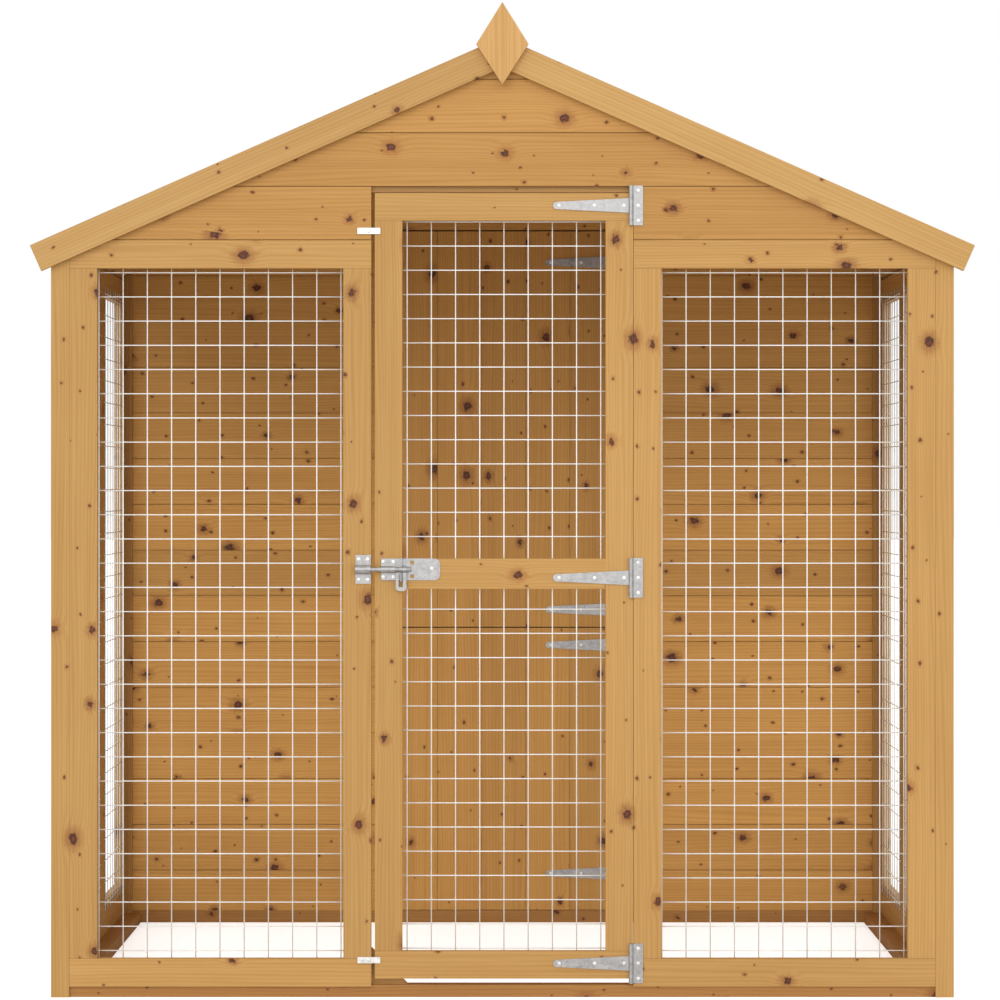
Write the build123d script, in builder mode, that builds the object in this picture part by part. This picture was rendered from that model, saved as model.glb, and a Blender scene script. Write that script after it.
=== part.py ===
from build123d import *
from math import ceil, cos, radians, sin, tan
import os

os.makedirs("parts", exist_ok=True)

# Dog kennel and run: a mesh run with a solid kennel behind it, under one apex roof.
# Millimetres, +Z up. The front faces -Y. The origin is at the middle of the footprint, on the ground.

# Overall sizes
RUN_WIDTH = 1860.0
RUN_DEPTH = 1219.0
KENNEL_DEPTH = 1219.0
ROOF_PITCH = 23.8
BARGE_APEX_Z = 1977.0

# Frame timber of the run
POST = 37.5
FRAME_W = 57.5
FRAME_T = 18.0
PANEL_FOOT_Z = 22.5
RAIL_TOP_Z = 1560.0
JOINT_GAP = 0.5

# Doorway and mesh door
DOORWAY_W = 540.4
DOORWAY_TOP_Z = 1659.7
DOOR_HINGE_GAP = 1.0
DOOR_LOCK_GAP = 7.4
DOOR_FOOT_Z = 38.9
DOOR_TOP_Z = 1657.3
DOOR_FRAME_W = 56.5
DOOR_MID_Z = 873.0
DOOR_MID_W = 62.0
STOP_LEG = 74.0
STOP_T = 18.0

# Base bearers
BEARER_H = 25.5
FRONT_BEARER_SETBACK = 6.0
SIDE_BEARER_W = 57.5
KENNEL_BEARER_H = 29.5
KENNEL_BEARER_W = 44.0
KENNEL_BEARER_SETBACK = 2.0
KENNEL_BEARERS = 5

# Weld mesh
MESH_PITCH = 50.0
WIRE = 2.5
WIRE_END = 20.0
FRONT_MESH_SHIFT_X = -2.0
FRONT_MESH_SHIFT_Z = 3.0
DOOR_MESH_SHIFT_Z = 1.2

# Side panels of the run
SIDE_WINDOW_FOOT_Z = 100.0
SIDE_SPLIT = 749.5
SIDE_CLEAR = 0.3

# Kennel walls
CLADDING_T = 12.0
COURSE = 110.3
SEAM = 1.6
LAP = 8.0
LAP_CLEAR = 0.3
STRIP_W = 37.5
STUD_W = 44.0
STUD_T = 28.0
FLOOR_T = 12.0
FLOOR_BOARDS = 16
BOARD_GAP = 0.8
SILL_CLEAR = 0.5

# Stable door leaves
LEAF_BOARDS = 5
LEAF_FOOT_Z = 31.0
LEAF_SPLIT_Z = 712.7
LEAF_GAP = 2.6
LEAF_TOP_GAP = 2.1
LEDGE_W = 57.5
LEDGE_T = 18.0
LEDGE_INSET_X = 13.0
LEDGE_INSET_Z = 60.0

# Roof
ROOF_BOARD_T = 12.0
ROOF_BOARDS = 10
FELT_T = 2.0
CAP_HALF = 150.0
BARGE_REVEAL = 1.0
BARGE_W = 57.0
BARGE_T = 16.0
BARGE_RUN = 1054.3
BARGE_OVERHANG = 6.0
RAFTER_W = 44.0
PURLIN_RUN = 500.0
RIDGE_H = 70.0

# Finial
FINIAL_W = 107.0
FINIAL_TOP_Z = 2046.7
FINIAL_MID_Z = 1960.7
FINIAL_FOOT_Z = 1877.7
FINIAL_T = 14.0

# Tee hinges
PIN_R = 2.2
KNUCKLE_R = 4.7
PIN_CLEAR = 0.05
PIN_STAND_OFF = 5.0
PIN_INSET = 4.4
PLATE_W = 24.7
PLATE_H = 81.6
HINGE_T = 2.5
STRAP_LENGTH = 160.6
STRAP_ROOT_H = 30.4
STRAP_TIP_H = 15.0
KNUCKLE_GAP = 0.3
FRONT_HINGE_Z = (70.5, 864.6, 1631.5)
LOWER_LEAF_HINGE_Z = (119.0, 670.2)
UPPER_LEAF_HINGE_Z = (755.7, 1593.2)

# Screws
SCREW_R = 1.7
SCREW_HEAD_R = 3.7
SCREW_HEAD_H = 0.8
SCREW_LENGTH = 11.0
HEAD_TAPER = 35
PLATE_SCREW_PITCH = 31.0
STRAP_SCREW_XS = (14.0, 75.0, 148.0)

# Turn buttons
BUTTON_L = 47.0
BUTTON_W = 12.6
BUTTON_T = 3.0
BUTTON_X = -275.0
BUTTON_CLEAR = 0.3
BUTTON_CORNER = 1.6
BUTTON_SCREW_R = 2.2
BUTTON_HEAD_R = 4.2
BUTTON_HEAD_H = 1.8
FRONT_BUTTON_Z = (77.3, 1579.0)
LEAF_BUTTON_Z = (375.0, 1185.0)

# Padlock bolt
BOLT_Z = 882.0
ROD_R = 4.5
ROD_CLEAR = 0.08
ROD_FLOOR = 2.8
ROD_TIP_X = -286.0
ROD_END_X = -188.0
ROD_CHAMFER = 0.8
BOLT_PLATE_T = 2.0
BOLT_PLATE_X = (-250.0, -128.5)
BOLT_PLATE_H = 44.6
BOLT_PLATE_CORNER = 12.0
COACH_HOLE = 7.4
COACH_HOLE_X = -185.9
COACH_HOLE_PITCH = 28.4
PLATE_SCREW_AT = (-145.6, 884.0)
GUIDE_X = (-250.0, -219.9)
GUIDE_WALL = 2.4
GUIDE_FOOT_T = 1.5
GUIDE_SCREW_X = (-245.5, -224.5)
GUIDE_SCREW_RISE = 15.5
KEEPER_X = (-302.6, -271.0)
KEEPER_H = 59.2
KEEPER_REACH = 9.3
KEEPER_WALL = 2.0
KEEPER_SCREW_X = (-296.0, -277.6)
KEEPER_SCREW_RISE = 21.0
STAPLE_X = -209.4
STAPLE_T = 2.5
STAPLE_TOP = 25.0
STAPLE_FOOT = 26.0
STAPLE_BACK_OUT = 1.0
STAPLE_SLOPE = 0.649
STAPLE_SLOPE_START = 3.1
STAPLE_REACH = 12.3
STAPLE_CORNER = 2.5
STAPLE_RING_R = 6.5
PADLOCK_R = 3.25
PADLOCK_DROP = 20.5
PADLOCK_OUT = 5.8
HANDLE_X = (-219.4, -197.3)
HANDLE_SLOT_X = (-213.4, -204.8)
HANDLE_DROP = 44.5
HANDLE_SLOT_DROP = 36.5
HANDLE_CORNER = 8.0
HANDLE_T = 2.5
HANDLE_EYE_R = 7.0
HANDLE_CLEAR = 0.05
LEG_START = 7.5

# Worked out from the sizes above
HALF = RUN_WIDTH / 2
INNER = HALF - POST
STILE_X = INNER - FRAME_W
DOORWAY_X = DOORWAY_W / 2
POST_X = DOORWAY_X + FRAME_W
RAIL_FOOT_Z = RAIL_TOP_Z - FRAME_W
SILL_RAIL_TOP_Z = PANEL_FOOT_Z + FRAME_W
DOOR_LEFT = DOOR_LOCK_GAP - DOORWAY_X
DOOR_RIGHT = DOORWAY_X - DOOR_HINGE_GAP
SLOPE = radians(ROOF_PITCH)
BARGE_RISE = ROOF_BOARD_T + 2 * FELT_T + BARGE_REVEAL
RIDGE_Z = BARGE_APEX_Z - BARGE_RISE / cos(SLOPE)
ROOF_RUN = BARGE_RUN - BARGE_OVERHANG
FRONT = (FINIAL_T - RUN_DEPTH - KENNEL_DEPTH) / 2
WALL = FRONT + RUN_DEPTH
WALL_BACK = WALL + CLADDING_T
REAR = WALL + KENNEL_DEPTH
REAR_INSIDE = REAR - CLADDING_T
BOARD_INSIDE = HALF - CLADDING_T
STUD_INSIDE = BOARD_INSIDE - STUD_T
SIDE_TOP_Z = RIDGE_Z - HALF * tan(SLOPE) - SIDE_CLEAR
SIDE_START = FRONT + POST
SIDE_END = WALL - CLADDING_T
PIN_X = DOOR_RIGHT - PIN_INSET
PLATE_LEFT = PIN_X + KNUCKLE_R + KNUCKLE_GAP
PLATE_SCREW_X = (PLATE_LEFT + PIN_X + PLATE_W) / 2
METAL_REACH = 4 * HINGE_T
BOLT_OUT = ROD_R + ROD_FLOOR
BOLT_Y = FRONT - BOLT_PLATE_T - BOLT_OUT
ROD_BORE = ROD_R + ROD_CLEAR


def timber(x0, x1, y0, y1, z0, z1):
    """Add one square-cut timber that fills the space between two corners."""
    with Locations(((x0 + x1) / 2, (y0 + y1) / 2, (z0 + z1) / 2)):
        Box(abs(x1 - x0), abs(y1 - y0), abs(z1 - z0))


def upright(y):
    """Upright plane that faces the front at depth y, with local axes X and Z."""
    return Plane(origin=(0, y, 0), x_dir=(1, 0, 0), z_dir=(0, -1, 0))


def slab(points, y0, y1):
    """Add a flat piece with a front outline, from depth y0 back to depth y1."""
    with BuildSketch(upright(y1)) as shape:
        with BuildLine():
            Polyline(*points, close=True)
        make_face()
    extrude(shape.sketch, amount=y1 - y0)


def underside(x):
    """Height of the roof boards' underside above a place across the width."""
    return RIDGE_Z - abs(x) * tan(SLOPE)


def roof_point(side, run, rise):
    """Front-view point at a distance down one slope and above the boards' underside."""
    across = run * cos(SLOPE) + rise * sin(SLOPE)
    return (side * across, RIDGE_Z - run * sin(SLOPE) + rise * cos(SLOPE))


def ridge_point(side, rise):
    """Front-view point on the mitre at the ridge, just clear of the other slope."""
    gap = JOINT_GAP / 2
    return (side * gap, RIDGE_Z + rise / cos(SLOPE) - gap * tan(SLOPE))


def roof_strip(side, near, far, low, high, y0, y1):
    """Add a strip that follows one slope, mitred at the ridge where it starts there."""
    start = [ridge_point(side, low), ridge_point(side, high)] if near == 0 else [
        roof_point(side, near, low), roof_point(side, near, high)]
    slab(start + [roof_point(side, far, high), roof_point(side, far, low)], y0, y1)


def gable(reach, foot):
    """Front outline of a gable wall that fills the space under the roof."""
    return [(-reach, foot), (reach, foot), (reach, underside(reach)),
            (0, RIDGE_Z), (-reach, underside(reach))]


def board_section(face, foot, depth):
    """Section of one lapped board: outer half low, inner half raised by the lap."""
    middle = face + depth / 2
    tongue = middle + LAP_CLEAR * depth / CLADDING_T
    back = face + depth
    return [(face, foot + SEAM), (middle, foot + SEAM), (middle, foot + LAP + LAP_CLEAR),
            (back, foot + LAP + LAP_CLEAR), (back, foot + COURSE + LAP),
            (tongue, foot + COURSE + LAP), (tongue, foot + COURSE), (face, foot + COURSE)]


def courses(foot, top):
    """Bottom heights of the board courses, all lined up on the front rail's top."""
    below = ceil((RAIL_TOP_Z - foot) / COURSE)
    above = ceil((top - RAIL_TOP_Z) / COURSE)
    return [RAIL_TOP_Z + course * COURSE for course in range(-below, above)]


def gable_boards(face, depth, reach, foot):
    """Add horizontal boards across a gable; depth is negative on the rear wall."""
    with BuildSketch(Plane.YZ) as shape:
        for course in courses(foot, RIDGE_Z):
            with BuildLine():
                Polyline(*board_section(face, course, depth), close=True)
            make_face()
    extrude(shape.sketch, amount=HALF, both=True)
    with BuildSketch(upright(max(face, face + depth))) as shape:
        with BuildLine():
            Polyline(*gable(reach, foot), close=True)
        make_face()
    extrude(shape.sketch, amount=abs(depth), mode=Mode.INTERSECT)


def cut_doorway(face, top):
    """Cut the doorway out of the boards, and the tongue that would show above it."""
    grounded = (Align.CENTER, Align.MIN, Align.MIN)
    with Locations((0, face, 0)):
        Box(DOORWAY_W, CLADDING_T, top, align=grounded, mode=Mode.SUBTRACT)
    with Locations((0, face + CLADDING_T / 2, 0)):
        Box(DOORWAY_W, CLADDING_T / 2, top + LAP + LAP_CLEAR, align=grounded, mode=Mode.SUBTRACT)


def mesh_sheet(plane, width, height):
    """Add a welded sheet over an opening, centred on a plane, its cut ends lapping the frame."""
    columns = round(width / MESH_PITCH)
    rows = round(height / MESH_PITCH)
    with BuildSketch(plane) as shape:
        with GridLocations(MESH_PITCH, 0, columns + 1, 1):
            Rectangle(WIRE, height + 2 * WIRE_END)
        with GridLocations(0, MESH_PITCH, 1, rows + 1):
            Rectangle(width + 2 * WIRE_END, WIRE)
    extrude(shape.sketch, amount=WIRE)


def front_sheet(x, z, width, height):
    """Add a sheet behind a front frame, centred at x and z."""
    plane = Plane(origin=(x, FRONT + FRAME_T + WIRE, z), x_dir=(1, 0, 0), z_dir=(0, -1, 0))
    mesh_sheet(plane, width, height)


def side_sheet(side, start, end):
    """Add a sheet on the inner face of a side panel over one window."""
    inner = HALF - FRAME_T - (WIRE if side > 0 else 0)
    foot = SIDE_WINDOW_FOOT_Z
    top = SIDE_TOP_Z - FRAME_W
    middle = (side * inner, (start + end) / 2, (foot + top) / 2)
    plane = Plane(origin=middle, x_dir=(0, 1, 0), z_dir=(1, 0, 0))
    mesh_sheet(plane, end - start, top - foot)


def barrel(face, z, height, radius, mode=Mode.ADD):
    """Add or cut an upright round barrel on the hinge line in front of a face."""
    with Locations((PIN_X, face - PIN_STAND_OFF, z)):
        Cylinder(radius, height, mode=mode)


def hinge_plate(face, z):
    """Add the fixed leaf of a tee hinge, with its two barrels and screw holes."""
    right = PIN_X + PLATE_W
    barrel_h = (PLATE_H - STRAP_ROOT_H) / 2 - KNUCKLE_GAP
    timber(PLATE_LEFT, right, face - HINGE_T, face, z - PLATE_H / 2, z + PLATE_H / 2)
    for end in (-1, 1):
        barrel_z = z + end * (PLATE_H - barrel_h) / 2
        barrel(face, barrel_z, barrel_h, KNUCKLE_R)
        timber(PIN_X, right, face - HINGE_T, face, barrel_z - barrel_h / 2, barrel_z + barrel_h / 2)
    barrel(face, z, PLATE_H, PIN_R, Mode.SUBTRACT)
    for place in (-1, 0, 1):
        screw_hole(PLATE_SCREW_X, face, z + place * PLATE_SCREW_PITCH)


def hinge_strap(face, z):
    """Add the tapered moving leaf of a tee hinge, with its barrel and screw holes."""
    root = STRAP_ROOT_H / 2
    tip = STRAP_TIP_H / 2
    tip_x = PIN_X - STRAP_LENGTH + tip
    with BuildSketch(upright(face)) as shape:
        with BuildLine():
            Polyline((tip_x, z - tip), (PIN_X, z - root), (PIN_X, z + root), (tip_x, z + tip))
            ThreePointArc((tip_x, z + tip), (tip_x - tip, z), (tip_x, z - tip))
        make_face()
    extrude(shape.sketch, amount=HINGE_T)
    barrel(face, z, STRAP_ROOT_H, KNUCKLE_R)
    barrel(face, z, PLATE_H, PIN_R + PIN_CLEAR, Mode.SUBTRACT)
    for across in STRAP_SCREW_XS:
        screw_hole(PIN_X - across, face, z)


def screw_hole(x, face, z):
    """Cut a clear hole for a screw through the metal in front of a face."""
    with Locations(upright(face) * Pos(x, z, 0)):
        Cylinder(SCREW_R + PIN_CLEAR, METAL_REACH, mode=Mode.SUBTRACT)


def screw(x, face, z, radius=SCREW_R, head_r=SCREW_HEAD_R, head_h=SCREW_HEAD_H, length=SCREW_LENGTH):
    """Add a screw whose head bears on a face and whose shank runs back into the wood."""
    with BuildSketch(upright(face)) as shape:
        with Locations((x, z)):
            Circle(head_r)
    extrude(shape.sketch, amount=head_h, taper=HEAD_TAPER)
    with BuildSketch(upright(face)) as shape:
        with Locations((x, z)):
            Circle(radius)
    extrude(shape.sketch, amount=-length)


def hinge_plate_screws(face, z):
    """Add the three screws of a fixed hinge leaf."""
    for place in (-1, 0, 1):
        screw(PLATE_SCREW_X, face - HINGE_T, z + place * PLATE_SCREW_PITCH)


def hinge_strap_screws(face, z):
    """Add the screws along a hinge strap."""
    for across in STRAP_SCREW_XS:
        screw(PIN_X - across, face - HINGE_T, z)


def turn_button(face, z):
    """Add a turn button that lies level across the gap at a door's edge."""
    with BuildSketch(upright(face - BUTTON_CLEAR)) as shape:
        with Locations((BUTTON_X, z)):
            RectangleRounded(BUTTON_L, BUTTON_W, BUTTON_CORNER)
            Circle(BUTTON_SCREW_R + PIN_CLEAR, mode=Mode.SUBTRACT)
    extrude(shape.sketch, amount=BUTTON_T)


def button_screw(face, z):
    """Add the screw that a turn button turns on."""
    screw(BUTTON_X, face - BUTTON_T - 2 * BUTTON_CLEAR, z, BUTTON_SCREW_R, BUTTON_HEAD_R,
          BUTTON_HEAD_H, SCREW_LENGTH + BUTTON_CLEAR)


def leaf_boards(foot, top):
    """Add the upright boards of one half of the stable door."""
    step = (DOOR_RIGHT - DOOR_LEFT) / LEAF_BOARDS
    for board in range(LEAF_BOARDS):
        left = DOOR_LEFT + board * step
        timber(left + BOARD_GAP / 2, left + step - BOARD_GAP / 2, WALL, WALL_BACK, foot, top)


def leaf_ledges(foot, top):
    """Add the two level ledges behind one half of the stable door."""
    for middle in (foot + LEDGE_INSET_Z, top - LEDGE_INSET_Z):
        timber(DOOR_LEFT + LEDGE_INSET_X, DOOR_RIGHT - LEDGE_INSET_X, WALL_BACK,
               WALL_BACK + LEDGE_T, middle - LEDGE_W / 2, middle + LEDGE_W / 2)


def channel(x0, x1, inner, outer, height, base, foot_t):
    """Add a pressed strap over the bolt, with flat feet above and below it."""
    resting = (Align.MIN, Align.CENTER)
    with BuildSketch(side_on(x0)) as shape:
        with Locations((base, 0)):
            Rectangle(foot_t, height, align=resting)
            Rectangle(BOLT_OUT - base, 2 * outer, align=resting)
        with Locations((BOLT_OUT, 0)):
            Circle(outer)
            Circle(inner, mode=Mode.SUBTRACT)
        with Locations((base, 0)):
            Rectangle(BOLT_OUT - base, 2 * inner, align=resting, mode=Mode.SUBTRACT)
    extrude(shape.sketch, amount=x1 - x0)


def side_on(x):
    """Plane across the bolt at a place along it, with local axes out of the door and down."""
    return Plane(origin=(x, FRONT - BOLT_PLATE_T, BOLT_Z), x_dir=(0, -1, 0), z_dir=(1, 0, 0))


# Run front: posts, rails, stiles
with BuildPart() as front_corner_posts:
    for side in (-1, 1):
        slab([(side * INNER, 0), (side * HALF, 0), (side * HALF, underside(HALF)),
              (side * INNER, underside(INNER))], FRONT, FRONT + POST)
front_corner_posts.part.label = "front_corner_posts"
export_step(front_corner_posts.part, "parts/front_corner_posts.step")

with BuildPart() as front_panel_rails:
    for side in (-1, 1):
        timber(side * DOORWAY_X, side * INNER, FRONT, FRONT + FRAME_T, PANEL_FOOT_Z, SILL_RAIL_TOP_Z)
        timber(side * DOORWAY_X, side * INNER, FRONT, FRONT + FRAME_T, RAIL_FOOT_Z, RAIL_TOP_Z)
front_panel_rails.part.label = "front_panel_rails"
export_step(front_panel_rails.part, "parts/front_panel_rails.step")

with BuildPart() as front_panel_stiles:
    for side in (-1, 1):
        timber(side * STILE_X, side * INNER, FRONT, FRONT + FRAME_T, SILL_RAIL_TOP_Z, RAIL_FOOT_Z)
front_panel_stiles.part.label = "front_panel_stiles"
export_step(front_panel_stiles.part, "parts/front_panel_stiles.step")

with BuildPart() as door_posts:
    for side in (-1, 1):
        timber(side * DOORWAY_X, side * POST_X, FRONT, FRONT + FRAME_T, SILL_RAIL_TOP_Z, RAIL_FOOT_Z)
door_posts.part.label = "door_posts"
export_step(door_posts.part, "parts/door_posts.step")

with BuildPart() as run_front_bearer:
    timber(-INNER, INNER, FRONT + FRONT_BEARER_SETBACK, FRONT + POST, 0, BEARER_H)
    for side in (-1, 1):
        with Locations(((DOORWAY_X + INNER) / 2 * side, FRONT, PANEL_FOOT_Z)):
            Box(INNER - DOORWAY_X, 2 * FRAME_T, 2 * BEARER_H,
                align=(Align.CENTER, Align.CENTER, Align.MIN), mode=Mode.SUBTRACT)
run_front_bearer.part.label = "run_front_bearer"
export_step(run_front_bearer.part, "parts/run_front_bearer.step")

with BuildPart() as run_side_bearers:
    for side in (-1, 1):
        timber(side * (HALF - SIDE_BEARER_W), side * HALF, SIDE_START, SIDE_END, 0, BEARER_H)
run_side_bearers.part.label = "run_side_bearers"
export_step(run_side_bearers.part, "parts/run_side_bearers.step")

with BuildPart() as corner_block:
    slab([(-DOORWAY_X, BEARER_H), (STOP_LEG - DOORWAY_X, BEARER_H), (-DOORWAY_X, BEARER_H + STOP_LEG)],
         FRONT + FRAME_T + JOINT_GAP, FRONT + FRAME_T + JOINT_GAP + STOP_T)
corner_block.part.label = "corner_block"
export_step(corner_block.part, "parts/corner_block.step")

# Weld mesh in the front windows
WINDOW_X = (STILE_X + POST_X) / 2
WINDOW_Z = (RAIL_FOOT_Z + SILL_RAIL_TOP_Z) / 2 + FRONT_MESH_SHIFT_Z
WINDOW_W = STILE_X - POST_X
WINDOW_H = RAIL_FOOT_Z - SILL_RAIL_TOP_Z

with BuildPart() as front_mesh_left:
    front_sheet(FRONT_MESH_SHIFT_X - WINDOW_X, WINDOW_Z, WINDOW_W, WINDOW_H)
front_mesh_left.part.label = "front_mesh_left"
export_step(front_mesh_left.part, "parts/front_mesh_left.step")

with BuildPart() as front_mesh_right:
    front_sheet(FRONT_MESH_SHIFT_X + WINDOW_X, WINDOW_Z, WINDOW_W, WINDOW_H)
front_mesh_right.part.label = "front_mesh_right"
export_step(front_mesh_right.part, "parts/front_mesh_right.step")

# Side panels of the run: two frames a side, the front one with a middle stile
SIDE_FRAMES = [(SIDE_START, FRONT + SIDE_SPLIT), (FRONT + SIDE_SPLIT, SIDE_END)]
SIDE_MIDDLE = (SIDE_START + FRONT + SIDE_SPLIT) / 2
SIDE_IN = HALF - FRAME_T

with BuildPart() as side_panel_rails:
    for side in (-1, 1):
        for start, end in SIDE_FRAMES:
            timber(side * SIDE_IN, side * HALF, start, end - JOINT_GAP, BEARER_H, SIDE_WINDOW_FOOT_Z)
            timber(side * SIDE_IN, side * HALF, start, end - JOINT_GAP, SIDE_TOP_Z - FRAME_W, SIDE_TOP_Z)
side_panel_rails.part.label = "side_panel_rails"
export_step(side_panel_rails.part, "parts/side_panel_rails.step")

with BuildPart() as side_panel_stiles:
    for side in (-1, 1):
        stile_starts = [SIDE_MIDDLE - FRAME_W / 2]
        for start, end in SIDE_FRAMES:
            stile_starts += [start, end - FRAME_W]
        for stile in stile_starts:
            timber(side * SIDE_IN, side * HALF, stile, stile + FRAME_W - JOINT_GAP,
                   SIDE_WINDOW_FOOT_Z, SIDE_TOP_Z - FRAME_W)
side_panel_stiles.part.label = "side_panel_stiles"
export_step(side_panel_stiles.part, "parts/side_panel_stiles.step")

FRONT_BAYS = [(SIDE_START + FRAME_W, SIDE_MIDDLE - FRAME_W / 2),
              (SIDE_MIDDLE + FRAME_W / 2, FRONT + SIDE_SPLIT - FRAME_W)]
REAR_BAY = (FRONT + SIDE_SPLIT + FRAME_W, SIDE_END - FRAME_W)

with BuildPart() as side_mesh_left_front:
    for start, end in FRONT_BAYS:
        side_sheet(-1, start, end)
side_mesh_left_front.part.label = "side_mesh_left_front"
export_step(side_mesh_left_front.part, "parts/side_mesh_left_front.step")

with BuildPart() as side_mesh_left_rear:
    side_sheet(-1, *REAR_BAY)
side_mesh_left_rear.part.label = "side_mesh_left_rear"
export_step(side_mesh_left_rear.part, "parts/side_mesh_left_rear.step")

with BuildPart() as side_mesh_right_front:
    for start, end in FRONT_BAYS:
        side_sheet(1, start, end)
side_mesh_right_front.part.label = "side_mesh_right_front"
export_step(side_mesh_right_front.part, "parts/side_mesh_right_front.step")

with BuildPart() as side_mesh_right_rear:
    side_sheet(1, *REAR_BAY)
side_mesh_right_rear.part.label = "side_mesh_right_rear"
export_step(side_mesh_right_rear.part, "parts/side_mesh_right_rear.step")

# Boards: front gable over the run, and the four kennel walls
BOARDED_DOORWAY_TOP_Z = RAIL_TOP_Z + COURSE

with BuildPart() as gable_cladding:
    gable_boards(FRONT, CLADDING_T, INNER, RAIL_TOP_Z)
    cut_doorway(FRONT, BOARDED_DOORWAY_TOP_Z)
gable_cladding.part.label = "gable_cladding"
export_step(gable_cladding.part, "parts/gable_cladding.step")

with BuildPart() as kennel_front_cladding:
    gable_boards(WALL, CLADDING_T, HALF, KENNEL_BEARER_H)
    cut_doorway(WALL, BOARDED_DOORWAY_TOP_Z)
kennel_front_cladding.part.label = "kennel_front_cladding"
export_step(kennel_front_cladding.part, "parts/kennel_front_cladding.step")

with BuildPart() as kennel_rear_cladding:
    gable_boards(REAR, -CLADDING_T, HALF, KENNEL_BEARER_H)
kennel_rear_cladding.part.label = "kennel_rear_cladding"
export_step(kennel_rear_cladding.part, "parts/kennel_rear_cladding.step")

with BuildPart() as kennel_side_cladding:
    for side in (-1, 1):
        with BuildSketch(upright(REAR_INSIDE)):
            for course in courses(KENNEL_BEARER_H, SIDE_TOP_Z):
                with BuildLine():
                    Polyline(*board_section(side * HALF, course, -side * CLADDING_T), close=True)
                make_face()
        extrude(amount=REAR_INSIDE - WALL_BACK)
    with Locations((0, (WALL_BACK + REAR_INSIDE) / 2, KENNEL_BEARER_H)):
        Box(RUN_WIDTH, REAR_INSIDE - WALL_BACK, SIDE_TOP_Z - KENNEL_BEARER_H,
            align=(Align.CENTER, Align.CENTER, Align.MIN), mode=Mode.INTERSECT)
kennel_side_cladding.part.label = "kennel_side_cladding"
export_step(kennel_side_cladding.part, "parts/kennel_side_cladding.step")

with BuildPart() as kennel_corner_strips:
    barge_drop = (BARGE_W - BARGE_RISE) / cos(SLOPE)
    for side in (-1, 1):
        for drop, y0 in ((0, SIDE_END), (barge_drop, REAR)):
            slab([(side * (HALF - STRIP_W), 0), (side * HALF, 0),
                  (side * HALF, underside(HALF) - drop),
                  (side * (HALF - STRIP_W), underside(HALF - STRIP_W) - drop)], y0, y0 + CLADDING_T)
kennel_corner_strips.part.label = "kennel_corner_strips"
export_step(kennel_corner_strips.part, "parts/kennel_corner_strips.step")

# Kennel floor
BEARER_FRONT_Y = WALL + KENNEL_BEARER_SETBACK
BEARER_REAR_Y = REAR - KENNEL_BEARER_SETBACK - KENNEL_BEARER_W
BEARER_STEP = (BEARER_REAR_Y - BEARER_FRONT_Y) / (KENNEL_BEARERS - 1)

with BuildPart() as kennel_floor_bearers:
    for bearer in range(KENNEL_BEARERS):
        bearer_y = BEARER_FRONT_Y + bearer * BEARER_STEP
        timber(-HALF, HALF, bearer_y, bearer_y + KENNEL_BEARER_W, 0, KENNEL_BEARER_H)
kennel_floor_bearers.part.label = "kennel_floor_bearers"
export_step(kennel_floor_bearers.part, "parts/kennel_floor_bearers.step")

FLOOR_Z = KENNEL_BEARER_H + FLOOR_T
FLOOR_STEP = 2 * BOARD_INSIDE / FLOOR_BOARDS

with BuildPart() as kennel_floorboards:
    for board in range(FLOOR_BOARDS):
        board_x = board * FLOOR_STEP - BOARD_INSIDE
        timber(board_x, board_x + FLOOR_STEP - BOARD_GAP, WALL_BACK + SILL_CLEAR, REAR_INSIDE,
               KENNEL_BEARER_H, FLOOR_Z)
kennel_floorboards.part.label = "kennel_floorboards"
export_step(kennel_floorboards.part, "parts/kennel_floorboards.step")

# Kennel framing: plates, then studs
FRONT_FRAME = (WALL_BACK, WALL_BACK + STUD_T)
REAR_FRAME = (REAR_INSIDE - STUD_T, REAR_INSIDE)
SIDE_FRAME = (FRONT_FRAME[1] + JOINT_GAP, REAR_FRAME[0] - JOINT_GAP)
PLATE_TOP_Z = FLOOR_Z + STUD_W
TOP_PLATE_FOOT_Z = SIDE_TOP_Z - STUD_W

with BuildPart() as kennel_wall_plates:
    timber(-BOARD_INSIDE, BOARD_INSIDE, *REAR_FRAME, FLOOR_Z, PLATE_TOP_Z)
    for side in (-1, 1):
        timber(side * DOORWAY_X, side * BOARD_INSIDE, *FRONT_FRAME, FLOOR_Z, PLATE_TOP_Z)
        timber(side * STUD_INSIDE, side * BOARD_INSIDE, *SIDE_FRAME, FLOOR_Z, PLATE_TOP_Z)
        timber(side * STUD_INSIDE, side * BOARD_INSIDE, *SIDE_FRAME, TOP_PLATE_FOOT_Z, SIDE_TOP_Z)
kennel_wall_plates.part.label = "kennel_wall_plates"
export_step(kennel_wall_plates.part, "parts/kennel_wall_plates.step")

RAFTER_DROP = RAFTER_W / cos(SLOPE)


def stud(x0, x1, y0, y1, foot):
    """Add an upright stud cut to the rafter's slope at its top."""
    slab([(x0, foot), (x1, foot), (x1, underside(x1) - RAFTER_DROP),
          (x0, underside(x0) - RAFTER_DROP)], y0, y1)


with BuildPart() as kennel_wall_studs:
    for side in (-1, 1):
        for y0, y1 in (FRONT_FRAME, REAR_FRAME):
            stud(side * DOORWAY_X, side * (DOORWAY_X + STUD_W), y0, y1, PLATE_TOP_Z)
            stud(side * (BOARD_INSIDE - STUD_W), side * BOARD_INSIDE, y0, y1, PLATE_TOP_Z)
        for third in (1, 2):
            stud_y = SIDE_FRAME[0] + (SIDE_FRAME[1] - SIDE_FRAME[0]) * third / 3 - STUD_W / 2
            timber(side * STUD_INSIDE, side * BOARD_INSIDE, stud_y, stud_y + STUD_W,
                   PLATE_TOP_Z, TOP_PLATE_FOOT_Z)
kennel_wall_studs.part.label = "kennel_wall_studs"
export_step(kennel_wall_studs.part, "parts/kennel_wall_studs.step")

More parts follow.
